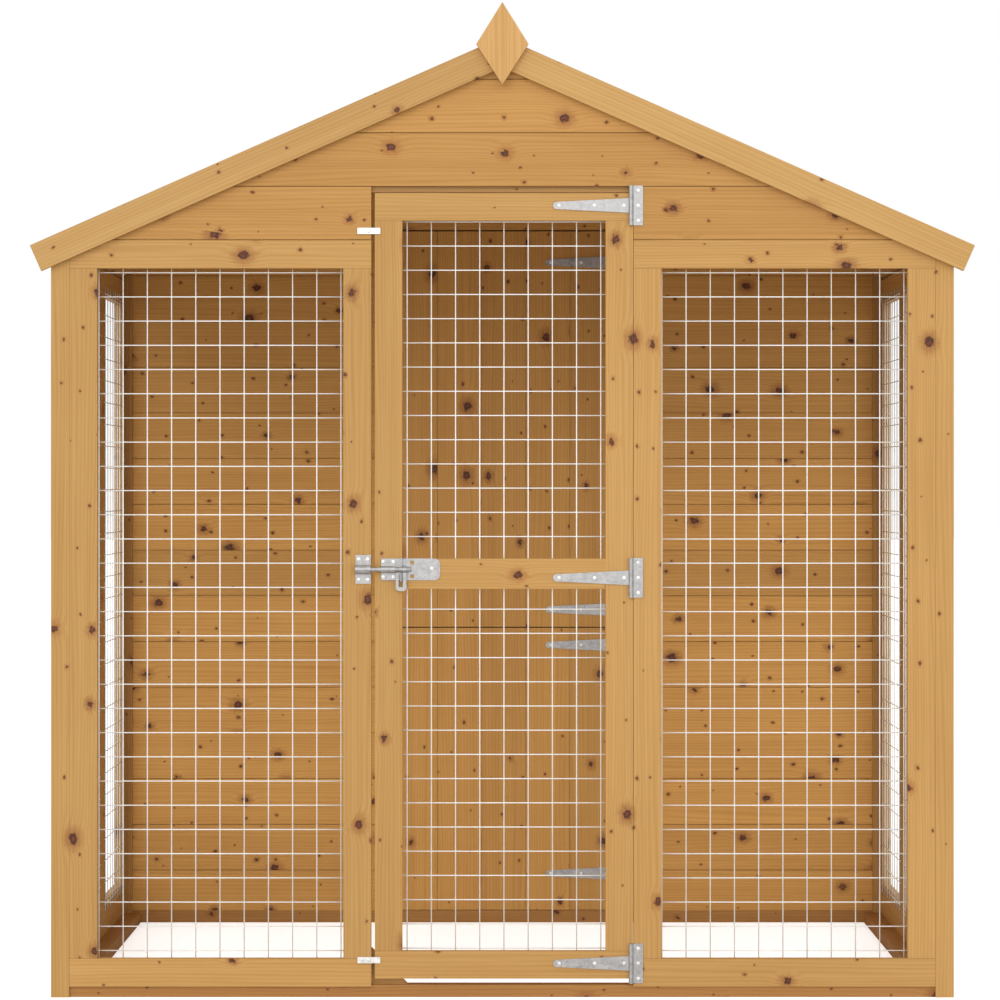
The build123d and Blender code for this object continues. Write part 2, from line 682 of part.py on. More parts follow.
# Rafters of the three gables, and the short studs beside the run's doorway
GABLE_FRAME = (FRONT + CLADDING_T, FRONT + CLADDING_T + STUD_T)
SEAT_X = (RIDGE_Z - RAFTER_DROP - RAIL_TOP_Z) / tan(SLOPE)

with BuildPart() as gable_framing:
    for side in (-1, 1):
        crown = [ridge_point(side, -RAFTER_W), ridge_point(side, 0)]
        slab(crown + [(side * INNER, underside(INNER)), (side * INNER, RAIL_TOP_Z),
                      (side * SEAT_X, RAIL_TOP_Z)], *GABLE_FRAME)
        heel = [(side * BOARD_INSIDE, underside(BOARD_INSIDE)),
                (side * BOARD_INSIDE, underside(BOARD_INSIDE) - RAFTER_DROP)]
        slab(crown + heel, *FRONT_FRAME)
        slab(crown + heel, *REAR_FRAME)
        jamb = [(side * DOORWAY_X, RAIL_TOP_Z), (side * (DOORWAY_X + STUD_W), RAIL_TOP_Z)]
        for edge in (DOORWAY_X + STUD_W, DOORWAY_X):
            jamb.append((side * edge, underside(edge) - RAFTER_DROP - JOINT_GAP))
        slab(jamb, *GABLE_FRAME)
gable_framing.part.label = "gable_framing"
export_step(gable_framing.part, "parts/gable_framing.step")

with BuildPart() as doorway_headers:
    timber(-DOORWAY_X, DOORWAY_X, *GABLE_FRAME, DOORWAY_TOP_Z, DOORWAY_TOP_Z + STUD_W)
    timber(-DOORWAY_X, DOORWAY_X, *FRONT_FRAME, BOARDED_DOORWAY_TOP_Z, BOARDED_DOORWAY_TOP_Z + STUD_W)
doorway_headers.part.label = "doorway_headers"
export_step(doorway_headers.part, "parts/doorway_headers.step")

# Roof: ridge and purlins, boards, felt, barge boards, finial
SPANS = [(GABLE_FRAME[1], WALL), (FRONT_FRAME[1], REAR_FRAME[0])]

with BuildPart() as roof_beams:
    half = STUD_T / 2
    for y0, y1 in SPANS:
        slab([(-half, RIDGE_Z - RIDGE_H), (half, RIDGE_Z - RIDGE_H), (half, underside(half)),
              (0, RIDGE_Z), (-half, underside(half))], y0, y1)
        for side in (-1, 1):
            roof_strip(side, PURLIN_RUN, PURLIN_RUN + STUD_T, -RAFTER_W, 0, y0, y1)
roof_beams.part.label = "roof_beams"
export_step(roof_beams.part, "parts/roof_beams.step")

ROOF_STEP = ROOF_RUN / ROOF_BOARDS

with BuildPart() as roof_boards:
    for side in (-1, 1):
        for board in range(ROOF_BOARDS):
            near = board * ROOF_STEP
            roof_strip(side, near, near + ROOF_STEP - BOARD_GAP, 0, ROOF_BOARD_T, FRONT, REAR)
roof_boards.part.label = "roof_boards"
export_step(roof_boards.part, "parts/roof_boards.step")

FELT_LOW = ROOF_BOARD_T
CAP_LOW = ROOF_BOARD_T + FELT_T

with BuildPart() as roof_felt:
    for side in (-1, 1):
        roof_strip(side, 0, ROOF_RUN, FELT_LOW, CAP_LOW, FRONT, REAR)
roof_felt.part.label = "roof_felt"
export_step(roof_felt.part, "parts/roof_felt.step")

with BuildPart() as felt_ridge_cap:
    cap = [(0, RIDGE_Z + CAP_LOW / cos(SLOPE)), roof_point(1, CAP_HALF, CAP_LOW),
           roof_point(1, CAP_HALF, CAP_LOW + FELT_T), (0, RIDGE_Z + (CAP_LOW + FELT_T) / cos(SLOPE)),
           roof_point(-1, CAP_HALF, CAP_LOW + FELT_T), roof_point(-1, CAP_HALF, CAP_LOW)]
    slab(cap, FRONT, REAR)
felt_ridge_cap.part.label = "felt_ridge_cap"
export_step(felt_ridge_cap.part, "parts/felt_ridge_cap.step")

with BuildPart() as barge_boards:
    for side in (-1, 1):
        for y0 in (FRONT - BARGE_T, REAR):
            roof_strip(side, 0, BARGE_RUN, BARGE_RISE - BARGE_W, BARGE_RISE, y0, y0 + BARGE_T)
barge_boards.part.label = "barge_boards"
export_step(barge_boards.part, "parts/barge_boards.step")

with BuildPart() as finial:
    slab([(0, FINIAL_FOOT_Z), (FINIAL_W / 2, FINIAL_MID_Z), (0, FINIAL_TOP_Z),
          (-FINIAL_W / 2, FINIAL_MID_Z)], FRONT - BARGE_T - FINIAL_T, FRONT - BARGE_T)
finial.part.label = "finial"
export_step(finial.part, "parts/finial.step")

# Mesh door of the run
DOOR_INNER_LEFT = DOOR_LEFT + DOOR_FRAME_W
DOOR_INNER_RIGHT = DOOR_RIGHT - DOOR_FRAME_W
DOOR_SILL_Z = DOOR_FOOT_Z + DOOR_FRAME_W
DOOR_HEAD_Z = DOOR_TOP_Z - DOOR_FRAME_W

with BuildPart() as front_door_stiles:
    timber(DOOR_LEFT, DOOR_INNER_LEFT, FRONT, FRONT + FRAME_T, DOOR_SILL_Z, DOOR_HEAD_Z)
    timber(DOOR_INNER_RIGHT, DOOR_RIGHT, FRONT, FRONT + FRAME_T, DOOR_SILL_Z, DOOR_HEAD_Z)
front_door_stiles.part.label = "front_door_stiles"
export_step(front_door_stiles.part, "parts/front_door_stiles.step")

with BuildPart() as front_door_rails:
    timber(DOOR_LEFT, DOOR_RIGHT, FRONT, FRONT + FRAME_T, DOOR_FOOT_Z, DOOR_SILL_Z)
    timber(DOOR_LEFT, DOOR_RIGHT, FRONT, FRONT + FRAME_T, DOOR_HEAD_Z, DOOR_TOP_Z)
    timber(DOOR_INNER_LEFT, DOOR_INNER_RIGHT, FRONT, FRONT + FRAME_T,
           DOOR_MID_Z - DOOR_MID_W / 2, DOOR_MID_Z + DOOR_MID_W / 2)
front_door_rails.part.label = "front_door_rails"
export_step(front_door_rails.part, "parts/front_door_rails.step")

with BuildPart() as front_door_mesh:
    front_sheet((DOOR_INNER_LEFT + DOOR_INNER_RIGHT) / 2,
                (DOOR_SILL_Z + DOOR_HEAD_Z) / 2 + DOOR_MESH_SHIFT_Z,
                DOOR_INNER_RIGHT - DOOR_INNER_LEFT, DOOR_HEAD_Z - DOOR_SILL_Z)
front_door_mesh.part.label = "front_door_mesh"
export_step(front_door_mesh.part, "parts/front_door_mesh.step")

with BuildPart() as front_door_straps:
    for z in FRONT_HINGE_Z:
        hinge_strap(FRONT, z)
front_door_straps.part.label = "front_door_straps"
export_step(front_door_straps.part, "parts/front_door_straps.step")

with BuildPart() as front_door_screws:
    for z in FRONT_HINGE_Z:
        hinge_strap_screws(FRONT, z)
    for x in GUIDE_SCREW_X:
        for end in (-1, 1):
            screw(x, FRONT - BOLT_PLATE_T - GUIDE_FOOT_T, BOLT_Z + end * GUIDE_SCREW_RISE)
    screw(PLATE_SCREW_AT[0], FRONT - BOLT_PLATE_T, PLATE_SCREW_AT[1])
front_door_screws.part.label = "front_door_screws"
export_step(front_door_screws.part, "parts/front_door_screws.step")

# Stable door of the kennel: two halves
UPPER_LEAF = (LEAF_SPLIT_Z + LEAF_GAP / 2, BOARDED_DOORWAY_TOP_Z - LEAF_TOP_GAP)
LOWER_LEAF = (LEAF_FOOT_Z, LEAF_SPLIT_Z - LEAF_GAP / 2)

with BuildPart() as upper_leaf_boards:
    leaf_boards(*UPPER_LEAF)
upper_leaf_boards.part.label = "upper_leaf_boards"
export_step(upper_leaf_boards.part, "parts/upper_leaf_boards.step")

with BuildPart() as upper_leaf_ledges:
    leaf_ledges(*UPPER_LEAF)
upper_leaf_ledges.part.label = "upper_leaf_ledges"
export_step(upper_leaf_ledges.part, "parts/upper_leaf_ledges.step")

with BuildPart() as upper_leaf_straps:
    for z in UPPER_LEAF_HINGE_Z:
        hinge_strap(WALL, z)
upper_leaf_straps.part.label = "upper_leaf_straps"
export_step(upper_leaf_straps.part, "parts/upper_leaf_straps.step")

with BuildPart() as upper_leaf_screws:
    for z in UPPER_LEAF_HINGE_Z:
        hinge_strap_screws(WALL, z)
upper_leaf_screws.part.label = "upper_leaf_screws"
export_step(upper_leaf_screws.part, "parts/upper_leaf_screws.step")

with BuildPart() as lower_leaf_boards:
    leaf_boards(*LOWER_LEAF)
lower_leaf_boards.part.label = "lower_leaf_boards"
export_step(lower_leaf_boards.part, "parts/lower_leaf_boards.step")

with BuildPart() as lower_leaf_ledges:
    leaf_ledges(*LOWER_LEAF)
lower_leaf_ledges.part.label = "lower_leaf_ledges"
export_step(lower_leaf_ledges.part, "parts/lower_leaf_ledges.step")

with BuildPart() as lower_leaf_straps:
    for z in LOWER_LEAF_HINGE_Z:
        hinge_strap(WALL, z)
lower_leaf_straps.part.label = "lower_leaf_straps"
export_step(lower_leaf_straps.part, "parts/lower_leaf_straps.step")

with BuildPart() as lower_leaf_screws:
    for z in LOWER_LEAF_HINGE_Z:
        hinge_strap_screws(WALL, z)
lower_leaf_screws.part.label = "lower_leaf_screws"
export_step(lower_leaf_screws.part, "parts/lower_leaf_screws.step")

# Fixed halves of the hinges, their pins, and the screws in the frame
LEAF_HINGE_Z = LOWER_LEAF_HINGE_Z + UPPER_LEAF_HINGE_Z
HINGES = [(FRONT, z) for z in FRONT_HINGE_Z] + [(WALL, z) for z in LEAF_HINGE_Z]
BUTTONS = [(FRONT, z) for z in FRONT_BUTTON_Z] + [(WALL, z) for z in LEAF_BUTTON_Z]

with BuildPart() as hinge_plates:
    for face, z in HINGES:
        hinge_plate(face, z)
hinge_plates.part.label = "hinge_plates"
export_step(hinge_plates.part, "parts/hinge_plates.step")

with BuildPart() as hinge_pins:
    for face, z in HINGES:
        barrel(face, z, PLATE_H, PIN_R)
hinge_pins.part.label = "hinge_pins"
export_step(hinge_pins.part, "parts/hinge_pins.step")

with BuildPart() as frame_screws:
    for face, z in HINGES:
        hinge_plate_screws(face, z)
    for x in KEEPER_SCREW_X:
        for end in (-1, 1):
            screw(x, FRONT - BOLT_PLATE_T, BOLT_Z + end * KEEPER_SCREW_RISE)
frame_screws.part.label = "frame_screws"
export_step(frame_screws.part, "parts/frame_screws.step")

with BuildPart() as turn_button_screws:
    for face, z in BUTTONS:
        button_screw(face, z)
turn_button_screws.part.label = "turn_button_screws"
export_step(turn_button_screws.part, "parts/turn_button_screws.step")

# Turn buttons, two at each doorway
with BuildPart() as front_button_bottom:
    turn_button(FRONT, FRONT_BUTTON_Z[0])
front_button_bottom.part.label = "front_button_bottom"
export_step(front_button_bottom.part, "parts/front_button_bottom.step")

with BuildPart() as front_button_top:
    turn_button(FRONT, FRONT_BUTTON_Z[1])
front_button_top.part.label = "front_button_top"
export_step(front_button_top.part, "parts/front_button_top.step")

with BuildPart() as lower_leaf_button:
    turn_button(WALL, LEAF_BUTTON_Z[0])
lower_leaf_button.part.label = "lower_leaf_button"
export_step(lower_leaf_button.part, "parts/lower_leaf_button.step")

with BuildPart() as upper_leaf_button:
    turn_button(WALL, LEAF_BUTTON_Z[1])
upper_leaf_button.part.label = "upper_leaf_button"
export_step(upper_leaf_button.part, "parts/upper_leaf_button.step")

# Padlock bolt on the mesh door
with BuildPart() as bolt_plate:
    with BuildSketch(upright(FRONT)):
        with Locations(((BOLT_PLATE_X[0] + BOLT_PLATE_X[1]) / 2, BOLT_Z)):
            plate = Rectangle(BOLT_PLATE_X[1] - BOLT_PLATE_X[0], BOLT_PLATE_H)
        fillet(plate.vertices().group_by(Axis.X)[-1], radius=BOLT_PLATE_CORNER)
        for end in (-1, 1):
            with Locations((COACH_HOLE_X, BOLT_Z + end * COACH_HOLE_PITCH / 2)):
                Rectangle(COACH_HOLE, COACH_HOLE, mode=Mode.SUBTRACT)
    extrude(amount=BOLT_PLATE_T)
    for x in GUIDE_SCREW_X:
        for end in (-1, 1):
            screw_hole(x, FRONT, BOLT_Z + end * GUIDE_SCREW_RISE)
    screw_hole(PLATE_SCREW_AT[0], FRONT, PLATE_SCREW_AT[1])
bolt_plate.part.label = "bolt_plate"
export_step(bolt_plate.part, "parts/bolt_plate.step")

with BuildPart() as bolt_staple:
    slope_drop = (STAPLE_REACH + STAPLE_SLOPE_START * STAPLE_SLOPE) / STAPLE_SLOPE
    with BuildSketch(side_on(STAPLE_X)):
        with BuildLine():
            Polyline((0, -STAPLE_TOP), (BOLT_OUT + STAPLE_BACK_OUT, -STAPLE_TOP),
                     (BOLT_OUT + STAPLE_BACK_OUT, 0), (BOLT_OUT, STAPLE_SLOPE_START),
                     (BOLT_OUT + STAPLE_REACH, slope_drop),
                     (BOLT_OUT + STAPLE_REACH, STAPLE_FOOT - STAPLE_CORNER),
                     (BOLT_OUT + STAPLE_REACH - STAPLE_CORNER, STAPLE_FOOT),
                     (0, STAPLE_FOOT), close=True)
        make_face()
        with Locations((BOLT_OUT, 0)):
            Circle(STAPLE_RING_R)
            Circle(ROD_BORE, mode=Mode.SUBTRACT)
        with Locations((BOLT_OUT + PADLOCK_OUT, PADLOCK_DROP)):
            Circle(PADLOCK_R, mode=Mode.SUBTRACT)
    extrude(amount=STAPLE_T)
bolt_staple.part.label = "bolt_staple"
export_step(bolt_staple.part, "parts/bolt_staple.step")

with BuildPart() as bolt_guide:
    channel(*GUIDE_X, ROD_BORE, ROD_BORE + GUIDE_WALL, BOLT_PLATE_H, 0, GUIDE_FOOT_T)
    for x in GUIDE_SCREW_X:
        for end in (-1, 1):
            screw_hole(x, FRONT - BOLT_PLATE_T, BOLT_Z + end * GUIDE_SCREW_RISE)
bolt_guide.part.label = "bolt_guide"
export_step(bolt_guide.part, "parts/bolt_guide.step")

with BuildPart() as bolt_keeper:
    channel(*KEEPER_X, KEEPER_REACH - KEEPER_WALL, KEEPER_REACH, KEEPER_H, -BOLT_PLATE_T,
            BOLT_PLATE_T)
    for x in KEEPER_SCREW_X:
        for end in (-1, 1):
            screw_hole(x, FRONT, BOLT_Z + end * KEEPER_SCREW_RISE)
bolt_keeper.part.label = "bolt_keeper"
export_step(bolt_keeper.part, "parts/bolt_keeper.step")

with BuildPart() as bolt_rod:
    with BuildSketch(side_on(ROD_TIP_X)):
        with Locations((BOLT_OUT, 0)):
            Circle(ROD_R)
    extrude(amount=ROD_END_X - ROD_TIP_X)
    chamfer(bolt_rod.edges().filter_by(GeomType.CIRCLE), length=ROD_CHAMFER)
bolt_rod.part.label = "bolt_rod"
export_step(bolt_rod.part, "parts/bolt_rod.step")

with BuildPart() as bolt_handle:
    with BuildSketch(upright(BOLT_Y + HANDLE_T / 2)):
        with Locations(((HANDLE_X[0] + HANDLE_X[1]) / 2, BOLT_Z - HANDLE_DROP)):
            blade = Rectangle(HANDLE_X[1] - HANDLE_X[0], HANDLE_DROP, align=(Align.CENTER, Align.MIN))
        fillet(blade.vertices().group_by(Axis.Y)[0], radius=HANDLE_CORNER)
        with Locations(((HANDLE_SLOT_X[0] + HANDLE_SLOT_X[1]) / 2, BOLT_Z - HANDLE_SLOT_DROP)):
            Rectangle(HANDLE_SLOT_X[1] - HANDLE_SLOT_X[0], HANDLE_SLOT_DROP,
                      align=(Align.CENTER, Align.MIN), mode=Mode.SUBTRACT)
        with Locations(((HANDLE_X[0] + HANDLE_SLOT_X[0]) / 2, BOLT_Z)):
            Rectangle(HANDLE_SLOT_X[0] - HANDLE_X[0], 2 * LEG_START, mode=Mode.SUBTRACT)
    extrude(amount=HANDLE_T)
    with BuildSketch(side_on(HANDLE_SLOT_X[1])):
        with Locations((BOLT_OUT, 0)):
            Circle(HANDLE_EYE_R)
    extrude(amount=HANDLE_X[1] - HANDLE_SLOT_X[1])
    with BuildSketch(side_on(HANDLE_SLOT_X[1])):
        with Locations((BOLT_OUT, 0)):
            Circle(ROD_R + HANDLE_CLEAR)
    extrude(amount=HANDLE_X[1] - HANDLE_SLOT_X[1], mode=Mode.SUBTRACT)
bolt_handle.part.label = "bolt_handle"
export_step(bolt_handle.part, "parts/bolt_handle.step")
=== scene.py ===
"""Looks, lights and camera for a timber dog kennel with a weld-mesh run in front of it."""
import logging
import math
from dataclasses import dataclass, field
from enum import Enum
from typing import Union

import bmesh
import bpy
from mathutils import Matrix, Vector


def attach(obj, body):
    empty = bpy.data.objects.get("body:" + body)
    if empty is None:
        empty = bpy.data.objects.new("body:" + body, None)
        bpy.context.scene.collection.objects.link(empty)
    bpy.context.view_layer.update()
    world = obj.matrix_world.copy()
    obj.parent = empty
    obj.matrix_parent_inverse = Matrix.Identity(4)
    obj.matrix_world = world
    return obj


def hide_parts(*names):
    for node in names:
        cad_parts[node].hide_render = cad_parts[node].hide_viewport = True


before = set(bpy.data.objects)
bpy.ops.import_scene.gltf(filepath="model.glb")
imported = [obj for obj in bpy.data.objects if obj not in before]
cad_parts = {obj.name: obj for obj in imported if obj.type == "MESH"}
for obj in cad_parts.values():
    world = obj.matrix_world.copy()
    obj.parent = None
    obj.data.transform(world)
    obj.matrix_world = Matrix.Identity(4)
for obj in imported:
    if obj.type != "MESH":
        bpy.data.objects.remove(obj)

LOG = logging.getLogger("kennel")
Triple = tuple[float, float, float]
Number = Union[float, "Value"]

MM = 0.001
PITCH = math.radians(23.8)
FRONT_Y = -1.212
PICTURE_PX = 1000
SENSOR_MM = 36.0
MERGE_DIST = 0.000002
FLOOR_HALF = 60

SMALL_HEAD_R = 0.004
SMALL_HEAD_RISE = 0.0008
HEAD_RISE = 0.0018
HEAD_DOME = ((1.0, 0.0), (0.98, 0.35), (0.86, 0.72), (0.62, 0.93), (0.44, 1.0))
NECK_RING = 2
RECESS_ARM = 0.40
RECESS_WAIST = 0.13
RECESS_LIP = 0.08
RECESS_DEPTH = 0.75
RECESS_TAPER = 0.55
SHANK_LENGTH = 0.009

KNOT_RATE = (4.3, 11.5)
PIN_RATE = (8.5, 21.0)
PIN_SHARE = 0.34
PIN_SHIFT = (3.3, 1.7)
PIN_FRAY = 0.4
SMALLEST_KNOT = 0.35
KNOT_STRETCH = 0.8
RING_RATE = 820.0
RING_WANDER = 46.0
RING_SWIRL = 6.5
# Half widths of the painted shade line along a joint: full shade within the core, fading to none by
# the edge.
JOINT_SHADE_CORE = 0.0003
JOINT_SHADE_EDGE = 0.0013


def rgb(red: int, green: int, blue: int) -> Triple:
    """Turns screen colour numbers into the linear colour that Blender wants.

    Args:
        red: Red, 0 to 255.
        green: Green, 0 to 255.
        blue: Blue, 0 to 255.

    Returns:
        The linear red, green and blue.
    """
    def linear(part: int) -> float:
        level = part / 255
        return level / 12.92 if level <= 0.04045 else ((level + 0.055) / 1.055) ** 2.4
    return linear(red), linear(green), linear(blue)


class Axis(Enum):
    """The way that a timber's grain runs."""

    X = "X"
    Y = "Y"
    Z = "Z"
    SLOPE = "slope"
    DOWN_SLOPE = "down slope"


class Value:
    """One output of a shader node, combined with others by ordinary arithmetic."""

    def __init__(self, shader: "Shader", socket: bpy.types.NodeSocket) -> None:
        self.shader = shader
        self.socket = socket

    def _math(self, operation: str, other: Number = 0.0, third: Number = 0.0) -> "Value":
        """Joins this value to others with a Math node.

        Args:
            operation: Blender's name for the operation.
            other: The second value.
            third: The third value, where the operation takes one.

        Returns:
            The result.
        """
        return self.shader.node("ShaderNodeMath", {0: self, 1: other, 2: third}, operation=operation)

    def __add__(self, other: Number) -> "Value":
        return self._math("ADD", other)

    __radd__ = __add__

    def __sub__(self, other: Number) -> "Value":
        return self._math("SUBTRACT", other)

    def __rsub__(self, other: Number) -> "Value":
        return (self * -1.0) + other

    def __mul__(self, other: Number) -> "Value":
        return self._math("MULTIPLY", other)

    __rmul__ = __mul__

    def __truediv__(self, other: Number) -> "Value":
        return self._math("DIVIDE", other)

    def __pow__(self, other: Number) -> "Value":
        return self._math("POWER", other)

    def __abs__(self) -> "Value":
        return self._math("ABSOLUTE")

    def floor(self) -> "Value":
        """Rounds down."""
        return self._math("FLOOR")

    def sine(self) -> "Value":
        """Takes the sine."""
        return self._math("SINE")

    def sign(self) -> "Value":
        """Gives -1, 0 or 1."""
        return self._math("SIGN")

    def ramp(self, low: Number, high: Number, start: float = 0.0, end: float = 1.0) -> "Value":
        """Moves smoothly from start to end while this goes from low to high.

        Args:
            low: Where the change begins.
            high: Where the change ends.
            start: The result at low and below.
            end: The result at high and above.

        Returns:
            The eased result.
        """
        inputs = {"Value": self, "From Min": low, "From Max": high, "To Min": start, "To Max": end}
        return self.shader.node("ShaderNodeMapRange", inputs, interpolation_type="SMOOTHSTEP")


class Shader:
    """A material whose nodes are built by method calls."""

    def __init__(self, name: str) -> None:
        self.material = bpy.data.materials.new(name)
        self.material.use_nodes = True
        self.tree = self.material.node_tree
        self.tree.nodes.clear()

    def node(self, kind: str, inputs: dict, output: Union[int, str] = 0, **settings: object) -> Value:
        """Adds a node, sets it up and links its inputs.

        Args:
            kind: Blender's name for the node type.
            inputs: Input name or number to a value, a number or a colour.
            output: Name or number of the output that is wanted.
            **settings: Properties of the node itself.

        Returns:
            The wanted output.
        """
        made = self.tree.nodes.new(kind)
        for name, value in settings.items():
            setattr(made, name, value)
        for key, value in inputs.items():
            if isinstance(value, Value):
                self.tree.links.new(value.socket, made.inputs[key])
            elif isinstance(value, tuple) and made.inputs[key].type == "RGBA":
                made.inputs[key].default_value = (*value, 1.0)
            else:
                made.inputs[key].default_value = value
        return Value(self, made.outputs[output])

    def place(self) -> tuple[Value, Value, Value]:
        """Gives the point's X, Y and Z in metres, in the row frame."""
        point = self.node("ShaderNodeTexCoord", {}, "Object")
        return tuple(self.node("ShaderNodeSeparateXYZ", {0: point}, axis) for axis in "XYZ")

    def vector(self, x: Number, y: Number, z: Number = 0.0) -> Value:
        """Joins three values into a vector."""
        return self.node("ShaderNodeCombineXYZ", {0: x, 1: y, 2: z})

    def noise(self, at: Value, scale: float, detail: float = 2.0, rough: float = 0.5) -> Value:
        """Smooth noise between about 0 and 1.

        Args:
            at: Where to read the noise.
            scale: Its scale.
            detail: How many finer layers are added.
            rough: How strong the finer layers are.

        Returns:
            The noise.
        """
        return self.node("ShaderNodeTexNoise",
                         {"Vector": at, "Scale": scale, "Detail": detail, "Roughness": rough}, "Fac")

    def mix(self, factor: Number, first: Union[Triple, Value], second: Union[Triple, Value],
            blend: str = "MIX") -> Value:
        """Mixes two colours.

        Args:
            factor: How much of the second colour to take.
            first: The first colour.
            second: The second colour.
            blend: Blender's name for the way they are mixed.

        Returns:
            The mixed colour.
        """
        made = self.tree.nodes.new("ShaderNodeMix")
        made.data_type = "RGBA"
        made.blend_type = blend
        made.clamp_factor = True
        for key, value in ((0, factor), (6, first), (7, second)):
            if isinstance(value, Value):
                self.tree.links.new(value.socket, made.inputs[key])
            elif isinstance(value, tuple):
                made.inputs[key].default_value = (*value, 1.0)
            else:
                made.inputs[key].default_value = value
        return Value(self, made.outputs[2])

    def surface(self, color: Union[Triple, Value], rough: Number, height: Value, bump_mm: float,
                metallic: float = 0.0, specular: float = 0.5) -> bpy.types.Material:
        """Finishes the material with one Principled shader.

        Args:
            color: Base colour.
            rough: Roughness.
            height: Relief from 0 to 1.
            bump_mm: How deep the relief is, in millimetres.
            metallic: How metallic the surface is.
            specular: Specular level.

        Returns:
            The finished material.
        """
        normal = self.node("ShaderNodeBump", {"Height": height, "Distance": bump_mm * MM,
                                              "Strength": 1.0}, "Normal")
        shader = self.node("ShaderNodeBsdfPrincipled",
                           {"Base Color": color, "Roughness": rough, "Metallic": metallic,
                            "Specular IOR Level": specular, "Normal": normal})
        self.node_output(shader)
        return self.material

    def node_output(self, shader: Value) -> None:
        """Links a shader to the material's output."""
        out = self.tree.nodes.new("ShaderNodeOutputMaterial")
        self.tree.links.new(shader.socket, out.inputs["Surface"])


KNOT_DARK = rgb(58, 24, 9)
KNOT_LIGHT = rgb(104, 50, 22)
PIN_KNOT = rgb(84, 38, 16)
HALO_DARK = rgb(128, 74, 32)
HALO_LIGHT = rgb(158, 98, 46)
# Colour of the painted shade in the thin lines where flush timbers meet.
JOINT_SHADE = rgb(104, 66, 30)


@dataclass(frozen=True)
class Layer:
    """One layer of noise in the wood, drawn out along the grain.

    Attributes:
        along: Scale along the grain.
        across: Scale across the grain.
        detail: How many finer layers are added.
        rough: How strong the finer layers are.
    """

    along: float
    across: float
    detail: float = 3.0
    rough: float = 0.55

    def read(self, made: Shader, along: Value, wide: Value, deep: Value) -> Value:
        """Reads the layer at a place in the timber."""
        at = made.vector(along * self.along, wide * self.across, deep * self.across)
        return made.noise(at, 1.0, self.detail, self.rough)


BROAD = Layer(0.7, 13.0, 2.0, 0.5)
FIBRE = Layer(9.0, 560.0, 3.0, 0.6)
STREAK = Layer(1.3, 85.0)
CLOUD = Layer(2.2, 9.0)


